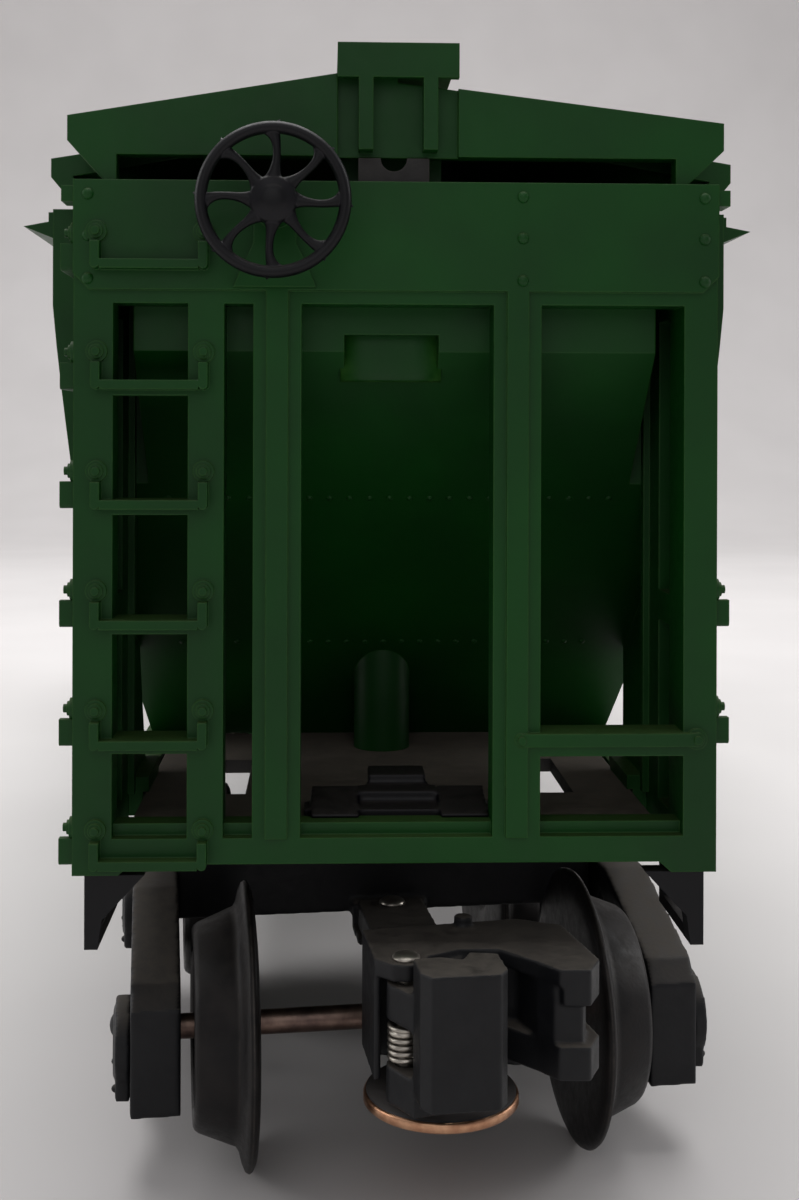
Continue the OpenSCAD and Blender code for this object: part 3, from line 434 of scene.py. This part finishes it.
# %% Lamps and sky
def add_lamp(name, place, aim, size, watts, colour="ffffff"):
    """A square area lamp at a place, turned towards a point."""
    light = bpy.data.lights.new(name, "AREA")
    light.size = size
    light.energy = watts
    light.color = linear(colour)[:3]
    lamp = bpy.data.objects.new(name, light)
    lamp.location = place
    lamp.rotation_euler = (Vector(aim) - Vector(place)).to_track_quat("-Z", "Y").to_euler()
    bpy.context.scene.collection.objects.link(lamp)


wagon_middle = (cad_low + cad_high) / 2
add_lamp("overhead", (0.0, 0.12, 0.75), wagon_middle, 0.7, 8.0)
add_lamp("left_window", (-0.75, 0.05, 0.4), wagon_middle, 0.5, 2.4)
add_lamp("right_window", (0.75, 0.1, 0.4), wagon_middle, 0.5, 2.4)
add_lamp("front_fill", (-0.1, -0.75, 0.45), (0, END_FACE_Y, 0.05), 0.6, 0.9)
sky = bpy.data.worlds.new("soft_sky")
sky.use_nodes = True
sky.node_tree.nodes["Background"].inputs["Color"].default_value = linear("e8e6ea")
sky.node_tree.nodes["Background"].inputs["Strength"].default_value = 0.4
bpy.context.scene.world = sky
bpy.context.scene.view_settings.view_transform = "Standard"

# %% [markdown]
# ## Where the trucks stand
# The brake-end truck is turned a little, so its pieces are built in the truck's own axes: x along the
# axles, y along the wagon, z up. The two wheelset joints give those axes. A CAD node can
# hold several separate solids, such as six springs. We sort them by welding the mesh and following
# its edges, and keep the box of each one in the same axes.

# %% Truck axes and the solids of a node
def truck_place(end):
    """Matrix from a truck's own axes to the wagon's."""
    lead = joints[f"{end}_lead_wheelset_roll"]
    trail = joints[f"{end}_trail_wheelset_roll"]
    across = Vector(lead["axis"]).normalized()
    up = Vector((0, 0, 1))
    along = up.cross(across)
    middle = (Vector(lead["pos_m"]) + Vector(trail["pos_m"])) / 2
    return Matrix.Translation(middle) @ Matrix((across, along, up)).transposed().to_4x4()


def solids_of(node, place=Matrix()):
    """Low and high corner of each separate solid of a CAD node, in the axes of place."""
    source = frame["nodes"][node]
    work = bmesh.new()
    work.from_mesh(source.data)
    work.transform(place.inverted() @ source.matrix_world)
    bmesh.ops.remove_doubles(work, verts=work.verts, dist=0.001 * MM)
    left = set(work.verts)
    boxes = []
    while left:
        group = [left.pop()]
        for vertex in group:
            for edge in vertex.link_edges:
                other = edge.other_vert(vertex)
                if other in left:
                    left.remove(other)
                    group.append(other)
        low = Vector(min(v.co[axis] for v in group) for axis in range(3))
        high = Vector(max(v.co[axis] for v in group) for axis in range(3))
        boxes.append((low, high))
    work.free()
    return sorted(boxes, key=lambda box: tuple(round(c / MM, 1) for c in box[0]))


PLACE = {end: truck_place(end) for end in ("front", "rear")}
for end, place in PLACE.items():
    print(end, "truck turned", round(math.degrees(place.to_euler().z), 1), "degrees")

# %% [markdown]
# ## Three ways to make a piece
# Nearly every fine piece is turned, bent or pressed. A turned piece is an outline spun about an axis.
# A bent piece is a round section carried along a path, thicker or thinner on the way. Pressed
# rows, such as rivets, repeat one small dome. All three write into one bmesh.

# %% Turned, bent and pressed shapes
def spin(work, outline, place, segments=64):
    """Spins (distance along the axis, radius) points about the local x axis of place."""
    rings = []
    for along, radius in outline:
        ring = []
        for step in range(segments):
            turn = math.tau * step / segments
            spot = Vector((along, radius * math.cos(turn), radius * math.sin(turn)))
            ring.append(work.verts.new(place @ spot))
        rings.append(ring)
    for first, second in zip(rings, rings[1:]):
        for step in range(segments):
            after = (step + 1) % segments
            work.faces.new((first[step], first[after], second[after], second[step])).smooth = True
    work.faces.new(list(reversed(rings[0])))
    work.faces.new(rings[-1])


def carry(work, path, widths, heights, sides=10, up=Vector((0, 0, 1))):
    """Carries an oval section along a path; each point has its own half width and half height."""
    rings = []
    for index, point in enumerate(path):
        before = path[max(index - 1, 0)]
        after = path[min(index + 1, len(path) - 1)]
        ahead = (after - before).normalized()
        side = ahead.cross(up).normalized()
        rise = side.cross(ahead)
        ring = []
        for step in range(sides):
            turn = math.tau * step / sides
            offset = side * widths[index] * math.cos(turn) + rise * heights[index] * math.sin(turn)
            ring.append(work.verts.new(point + offset))
        rings.append(ring)
    for first, second in zip(rings, rings[1:]):
        for step in range(sides):
            after = (step + 1) % sides
            work.faces.new((first[step], first[after], second[after], second[step])).smooth = True
    work.faces.new(list(reversed(rings[0])))
    work.faces.new(rings[-1])


def dome(work, centre, out, radius, height, segments=14, rings=4):
    """A rivet head at a point, standing out along a direction."""
    place = Matrix.Translation(centre) @ out.to_track_quat("X", "Z").to_matrix().to_4x4()
    outline = [(-0.1 * MM, radius)]
    for step in range(rings + 1):
        turn = math.radians(88) * step / rings
        outline.append((height * math.sin(turn), radius * math.cos(turn)))
    spin(work, outline, place, segments)


def make_piece(name, work, finish, body, stands_for=()):
    """Turns a bmesh into a piece that rides on a CAD body."""
    bmesh.ops.recalc_face_normals(work, faces=work.faces)
    mesh = bpy.data.meshes.new(name)
    work.to_mesh(mesh)
    work.free()
    piece = bpy.data.objects.new(name, mesh)
    piece.data.materials.append(finish)
    bpy.context.scene.collection.objects.link(piece)
    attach(piece, body)
    for node in stands_for:
        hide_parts(node)
    return piece


print("shapes ready")

# %% [markdown]
# ## The brake wheel
# A freight car's brake wheel is a thin iron rim on eight swept spokes, here moulded in black acetal.
# Each spoke leaves the hub nearly straight, leans back as it goes out, and widens at both
# ends, so the holes between the spokes look like petals. The hub has a shallow dome.

# %% Brake wheel
wheel_low, wheel_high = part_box("brake_wheel")
wheel_middle = (wheel_low + wheel_high) / 2
WHEEL_R = (wheel_high.x - wheel_low.x) / 2
RIM_HALF = 0.45 * MM
RIM_PLANE = wheel_low.y + 0.75 * MM
HUB_R = 1.75 * MM
SPOKES = 8
SPOKE_HALF = 0.3 * MM
SHAFT_R = 0.7 * MM
RIM_STEPS = 96
turned = Matrix.Translation((wheel_middle.x, RIM_PLANE, wheel_middle.z))
turned = turned @ Matrix.Rotation(math.radians(-90), 4, "Z")
work = bmesh.new()
rim = []
for step in range(17):
    turn = math.tau * step / 16
    rim.append((0.55 * MM * math.sin(turn), WHEEL_R - RIM_HALF + RIM_HALF * math.cos(turn)))
for first, second in zip(rim, rim[1:]):
    ring_pair = []
    for along, radius in (first, second):
        ring = []
        for k in range(RIM_STEPS):
            turn = math.tau * k / RIM_STEPS
            spot = Vector((along, radius * math.cos(turn), radius * math.sin(turn)))
            ring.append(work.verts.new(turned @ spot))
        ring_pair.append(ring)
    for k in range(RIM_STEPS):
        after = (k + 1) % RIM_STEPS
        corners = (ring_pair[0][k], ring_pair[0][after], ring_pair[1][after], ring_pair[1][k])
        work.faces.new(corners).smooth = True
bmesh.ops.remove_doubles(work, verts=work.verts, dist=0.0005 * MM)
hub = [(-0.55 * MM, 0.2 * MM), (-0.55 * MM, HUB_R), (0.2 * MM, HUB_R), (0.42 * MM, HUB_R - 0.2 * MM),
       (0.46 * MM, 1.1 * MM), (0.62 * MM, 0.95 * MM), (0.74 * MM, 0.5 * MM), (0.75 * MM, 0.05 * MM)]
spin(work, hub, turned, 40)
spin(work, [(RIM_PLANE - wheel_high.y, SHAFT_R), (-0.5 * MM, SHAFT_R)], turned, 24)
for number in range(SPOKES):
    path = []
    widths = []
    for step in range(13):
        t = step / 12
        radius = HUB_R - 0.4 * MM + (WHEEL_R - RIM_HALF - HUB_R + 0.5 * MM) * t
        turn = math.tau * number / SPOKES + math.radians(3 * t - 24 * t * (1 - t))
        path.append(Vector((wheel_middle.x + radius * math.cos(turn), RIM_PLANE,
                            wheel_middle.z + radius * math.sin(turn))))
        widths.append((0.27 + 0.55 * (1 - t) ** 6 + 0.65 * t ** 7) * MM)
    carry(work, path, widths, [SPOKE_HALF] * len(path), sides=12, up=Vector((0, 1, 0)))
make_piece("brake_wheel_turned", work, black_acetal, "brake_wheel", ["brake_wheel"])
print("brake wheel", round(2 * WHEEL_R / MM, 1), "mm over the rim")

# %% [markdown]
# ## Wheels
# A model wheel is pressed close to size and then turned. Its flange has a round tip and a small
# fillet at the root, the tread is coned, and the outer face is dished round a boss. The CAD
# box gives its diameter and width, and the outline below follows from those two.

# %% Turned wheels
def wheel_outline(radius, width):
    """Half section from the flange's inner face (0) to the outer face (width)."""
    points = [(0.9, 0.9), (0.9, 2.6), (0.3, 3.2), (0.0, 4.4), (0.0, 9.8)]
    points += [(0.12, 10.7), (0.36, radius / MM - 0.12), (0.6, radius / MM), (0.86, radius / MM - 0.14),
               (1.1, 10.6), (1.32, 9.7), (1.6, 9.25), (2.0, 9.1)]
    points += [(width / MM - 0.45, 8.1), (width / MM - 0.12, 7.85), (width / MM, 7.6), (width / MM, 6.7)]
    points += [(width / MM - 0.35, 6.35), (width / MM - 1.1, 6.1), (width / MM - 1.3, 5.6),
               (width / MM - 1.3, 3.2), (width / MM - 0.8, 2.7), (width / MM - 0.3, 2.5),
               (width / MM - 0.2, 0.9)]
    return [(along * MM, r * MM) for along, r in points]


for end, place in PLACE.items():
    for position in ("lead", "trail"):
        node = f"{end}_{position}_wheels"
        work = bmesh.new()
        for low, high in solids_of(node, place):
            outside = 1 if low.x + high.x > 0 else -1
            inner_face = low.x if outside > 0 else high.x
            seat = place @ Matrix.Translation((inner_face, (low.y + high.y) / 2, (low.z + high.z) / 2))
            seat = seat @ Matrix.Scale(outside, 4, (1, 0, 0))
            spin(work, wheel_outline((high.z - low.z) / 2, high.x - low.x), seat, 96)
        make_piece(f"{node}_turned", work, wheel_iron, f"{end}_{position}_wheelset", [node])
print("8 wheels turned")

# %% [markdown]
# ## Coil springs
# Six coil springs stand in each truck, three to a side, and a finer one keeps each knuckle closed.
# A spring is wire wound on a mandrel, so its path is a helix with a flat turn at each end.

# %% Coil springs
def coil(work, low, high, wire, turns, place, per_turn=20):
    """Winds wire of a half thickness into a spring that fills a box."""
    centre = (low + high) / 2
    radius = (high.x - low.x) / 2 - wire
    path = []
    for step in range(turns * per_turn + 1):
        turn = math.tau * step / per_turn
        share = step / (turns * per_turn)
        rise = min(max((share * turns - 0.6) / (turns - 1.2), 0), 1)
        height = low.z + wire + (high.z - low.z - 2 * wire) * rise
        path.append(place @ Vector((centre.x + radius * math.cos(turn),
                                    centre.y + radius * math.sin(turn), height)))
    thick = [wire] * len(path)
    carry(work, path, thick, thick, sides=8)


for end, place in PLACE.items():
    work = bmesh.new()
    for low, high in solids_of(f"{end}_truck_springs", place):
        coil(work, low, high, 0.3 * MM, 7, place)
    make_piece(f"{end}_truck_coils", work, black_zinc, f"{end}_truck", [f"{end}_truck_springs"])
    work = bmesh.new()
    for low, high in solids_of(f"{end}_knuckle_spring", place):
        coil(work, low, high, 0.2 * MM, 6, place)
    make_piece(f"{end}_knuckle_coil", work, nickel_steel, f"{end}_truck", [f"{end}_knuckle_spring"])
print("springs wound")

# %% [markdown]
# ## Soft castings
# A die-cast coupler has no sharp edge at all, and its flats are slightly wavy. We rebuild each casting
# on a fine grid of cubes and smooth the result a few times, which rounds every edge by about
# the size of a cube. The result stands for its CAD node.

# %% Soft castings
body_of_node = {node: piece["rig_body"] for node, piece in frame["nodes"].items()}


def soften(node, grid_mm, passes):
    """A copy of a CAD node rebuilt on a grid, with all its edges rounded."""
    source = frame["nodes"][node]
    work = bmesh.new()
    work.from_mesh(source.data)
    work.transform(source.matrix_world)
    bmesh.ops.remove_doubles(work, verts=work.verts, dist=0.001 * MM)
    piece = make_piece(f"{node}_cast", work, finish_of_node[node], body_of_node[node], [node])
    grid = piece.modifiers.new("grid", "REMESH")
    grid.mode = "VOXEL"
    grid.voxel_size = grid_mm * MM
    grid.use_smooth_shade = True
    even = piece.modifiers.new("even", "SMOOTH")
    even.factor = 0.5
    even.iterations = passes
    return piece


for end in PLACE:
    soften(f"{end}_coupler_head", 0.17, 3)
    soften(f"{end}_knuckle", 0.15, 3)
    soften(f"{end}_striker", 0.2, 2)
    soften(f"{end}_side_frames", 0.24, 2)
    soften(f"{end}_bearing_caps", 0.2, 3)
    soften(f"{end}_bolster", 0.24, 2)
print("castings softened")

# %% [markdown]
# ## Rivets
# The end panel has columns of three rivets where the posts meet it, the journal caps have one bolt
# each, and the coupler's pins end in bright round heads. On the model they're all
# moulded or pressed as shallow domes.

# %% Rivets and pin heads
FACING = {"front": Vector((0, -1, 0)), "rear": Vector((0, 1, 0))}
RUNG_OUT = 1.1 * MM
RIVET_X = (-23.2, -9.4, 9.4, 23.2)
RIVET_DROP = (1.1, 4.2, 7.4)
for end, place in PLACE.items():
    facing = FACING[end]
    work = bmesh.new()
    low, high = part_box(f"{end}_end_frame")
    face_y = facing.y * (abs(END_FACE_Y) - RUNG_OUT)
    for x in RIVET_X:
        for drop in RIVET_DROP:
            dome(work, Vector((x * MM, face_y, high.z - drop * MM)), facing, 0.45 * MM, 0.3 * MM)
    make_piece(f"{end}_panel_rivets", work, green_styrene, "wagon_body")
    work = bmesh.new()
    for low, high in solids_of(f"{end}_coupler_rivets", place):
        centre = Vector(((low.x + high.x) / 2, (low.y + high.y) / 2, low.z + 0.1 * MM))
        head_r = (high.x - low.x) / 2
        dome(work, place @ centre, Vector((0, 0, 1)), head_r, high.z - low.z - 0.1 * MM, 24, 6)
    make_piece(f"{end}_pin_heads", work, nickel_steel, f"{end}_truck", [f"{end}_coupler_rivets"])
    work = bmesh.new()
    for low, high in solids_of(f"{end}_bearing_caps", place):
        out = Vector((1 if high.x > 0 else -1, 0, 0))
        face_x = high.x if high.x > 0 else low.x
        middle = (low + high) / 2
        aside = place.to_3x3() @ out
        spot = Vector((face_x - 0.5 * out.x * MM, middle.y, high.z - 2.2 * MM))
        dome(work, place @ spot, aside, 1.1 * MM, 0.8 * MM, 24, 6)
        for y in (-2.1, 2.1):
            for z in (0.8, 3.0):
                spot = Vector((face_x - 0.3 * out.x * MM, middle.y + y * MM, low.z + z * MM))
                dome(work, place @ spot, aside, 0.35 * MM, 0.4 * MM)
    make_piece(f"{end}_cap_bolts", work, black_zinc, f"{end}_truck")
print("rivets set")

# %% [markdown]
# ## Seams of the slope sheet
# The sloping end sheet of the hopper is riveted together from plates, and two rows of rivets cross it. The
# sheet isn't flat, so each rivet finds its own seat: we look along the wagon at the CAD node, and set
# a dome where the line of sight meets it.

# %% Rivet rows on the slope sheets
hopper = frame["nodes"]["hopper_body"]
seen = bmesh.new()
seen.from_mesh(hopper.data)
seen.transform(hopper.matrix_world)
hopper_tree = BVHTree.FromBMesh(seen)
seen.free()
panel_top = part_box("front_end_frame")[1].z
ROW_PITCH = 1.7 * MM
SEAM_DROP = (24.4, 38.4)
for end, facing in FACING.items():
    work = bmesh.new()
    count = 0
    for drop in SEAM_DROP:
        for number in range(-11, 12):
            start = Vector((number * ROW_PITCH, facing.y * (cad_high.y + 20 * MM),
                            panel_top - drop * MM))
            spot, normal = hopper_tree.ray_cast(start, -facing)[:2]
            if spot is not None and normal.dot(facing) > 0.3:
                dome(work, spot, normal, 0.3 * MM, 0.16 * MM, 10, 3)
                count += 1
    make_piece(f"{end}_slope_rivets", work, green_styrene, "wagon_body")
    print(end, count, "slope rivets")

# %% [markdown]
# ## The uncoupling disk
# A magnet in the track pulls this steel disk down to open the coupler. Its top is blackened, and the
# rim shows the copper layer below. Both parts are turned: a disk with its stem, and a band.

# %% Uncoupling disks
for end, place in PLACE.items():
    low, high = solids_of(f"{end}_uncoupler", place)[0]
    disk_r = (high.x - low.x) / 2
    disk_t = 0.9 * MM
    upright = place @ Matrix.Translation(((low.x + high.x) / 2, (low.y + high.y) / 2, low.z))
    upright = upright @ Matrix.Rotation(math.radians(-90), 4, "Y")
    work = bmesh.new()
    spin(work, [(0.02 * MM, 0.1 * MM), (0.02 * MM, disk_r - 0.25 * MM), (disk_t, disk_r - 0.2 * MM),
                (disk_t, 1.35 * MM), (disk_t + 0.25 * MM, 1.1 * MM), (high.z - low.z, 1.1 * MM)],
         upright, 72)
    make_piece(f"{end}_disk_black", work, black_zinc, f"{end}_uncoupler", [f"{end}_uncoupler"])
    work = bmesh.new()
    spin(work, [(0.0, disk_r - 0.5 * MM), (0.0, disk_r - 0.12 * MM), (0.12 * MM, disk_r),
                (disk_t - 0.3 * MM, disk_r), (disk_t - 0.12 * MM, disk_r - 0.1 * MM),
                (disk_t - 0.1 * MM, disk_r - 0.5 * MM)], upright, 72)
    make_piece(f"{end}_disk_copper_band", work, copper_rim, f"{end}_uncoupler")
print("disks turned")

# %% [markdown]
# ## Tread of the running board
# A roof walk is a grating that gives shoes a grip. The model moulds it as low cross ribs with
# sloping flanks, one every 2 mm, along the whole board.

# %% Running-board ribs
board_low, board_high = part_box("running_board")
RIB_PITCH = 2.0 * MM
RIB_SECTION = ((-0.35, -0.05), (-0.2, 0.22), (0.2, 0.22), (0.35, -0.05))
rib_count = int((board_high.y - board_low.y) / RIB_PITCH) - 1
first_y = (board_low.y + board_high.y) / 2 - (rib_count - 1) * RIB_PITCH / 2
half_x = (board_high.x - board_low.x) / 2 - 0.6 * MM
work = bmesh.new()
for number in range(rib_count):
    y = first_y + number * RIB_PITCH
    corners = []
    for x in (-half_x, half_x):
        corners.append([work.verts.new((x, y + dy * MM, board_high.z + dz * MM)) for dy, dz in RIB_SECTION])
    for k in range(4):
        after = (k + 1) % 4
        work.faces.new((corners[0][k], corners[0][after], corners[1][after], corners[1][k]))
    work.faces.new(list(reversed(corners[0])))
    work.faces.new(corners[1])
make_piece("running_board_ribs", work, green_styrene, "wagon_body")
print(rib_count, "ribs")

# %% [markdown]
# ## Lint
# A static charge on plastic draws cotton fibres. A few have caught on the brake wheel's housing and on
# the ladder. Each one is a thin, gently curled strand that starts and ends on the surface.

# %% Lint fibres
random.seed(11)
end_low, end_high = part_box("front_end_frame")
work = bmesh.new()
for number in range(14):
    start = Vector((random.uniform(end_low.x + 6 * MM, end_high.x - 6 * MM), end_low.y + 1.15 * MM,
                    end_high.z - random.uniform(1.5, 7.0) * MM))
    heading = random.uniform(0, math.tau)
    path = [start]
    for step in range(9):
        heading += random.uniform(-0.5, 0.5)
        path.append(path[-1] + Vector((math.cos(heading), 0, 0.5 * math.sin(heading))) * 0.25 * MM)
    thin = [0.018 * MM] * len(path)
    carry(work, path, thin, thin, sides=5, up=Vector((0, 1, 0)))
make_piece("front_lint", work, lint_fibre, "wagon_body")
print("lint laid")

# %% [markdown]
# ## Shade behind the end slots
# The roof moulding ends in a tongue behind the slot in each end wall. An oval bar in the body's green
# is put below it, inside, to block the light, so that the slot shows shade.

# %% Bars that shade the end slots
for end, facing in FACING.items():
    wall_y = facing.y * (abs(END_FACE_Y) - RUNG_OUT - 4.9 * MM)
    path = [Vector((x * MM, wall_y, panel_top - 12.4 * MM)) for x in (-4.3, -2.0, 1.3, 3.6)]
    work = bmesh.new()
    # This bar blocks the light behind the slot, so the slot shows shade.
    carry(work, path, [0.4 * MM] * 4, [2.5 * MM] * 4, sides=16)
    make_piece(f"{end}_slot_shade_bar", work, green_styrene, "wagon_body")
print("slots closed")

# %% [markdown]
# ## Write down the sizes
# The last step measures the finished model next to the CAD box, so that anyone can see that
# nothing has grown.

# %% Sizes and finish
low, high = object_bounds()
print("visual model", [round(side / MM, 1) for side in high - low], "mm")
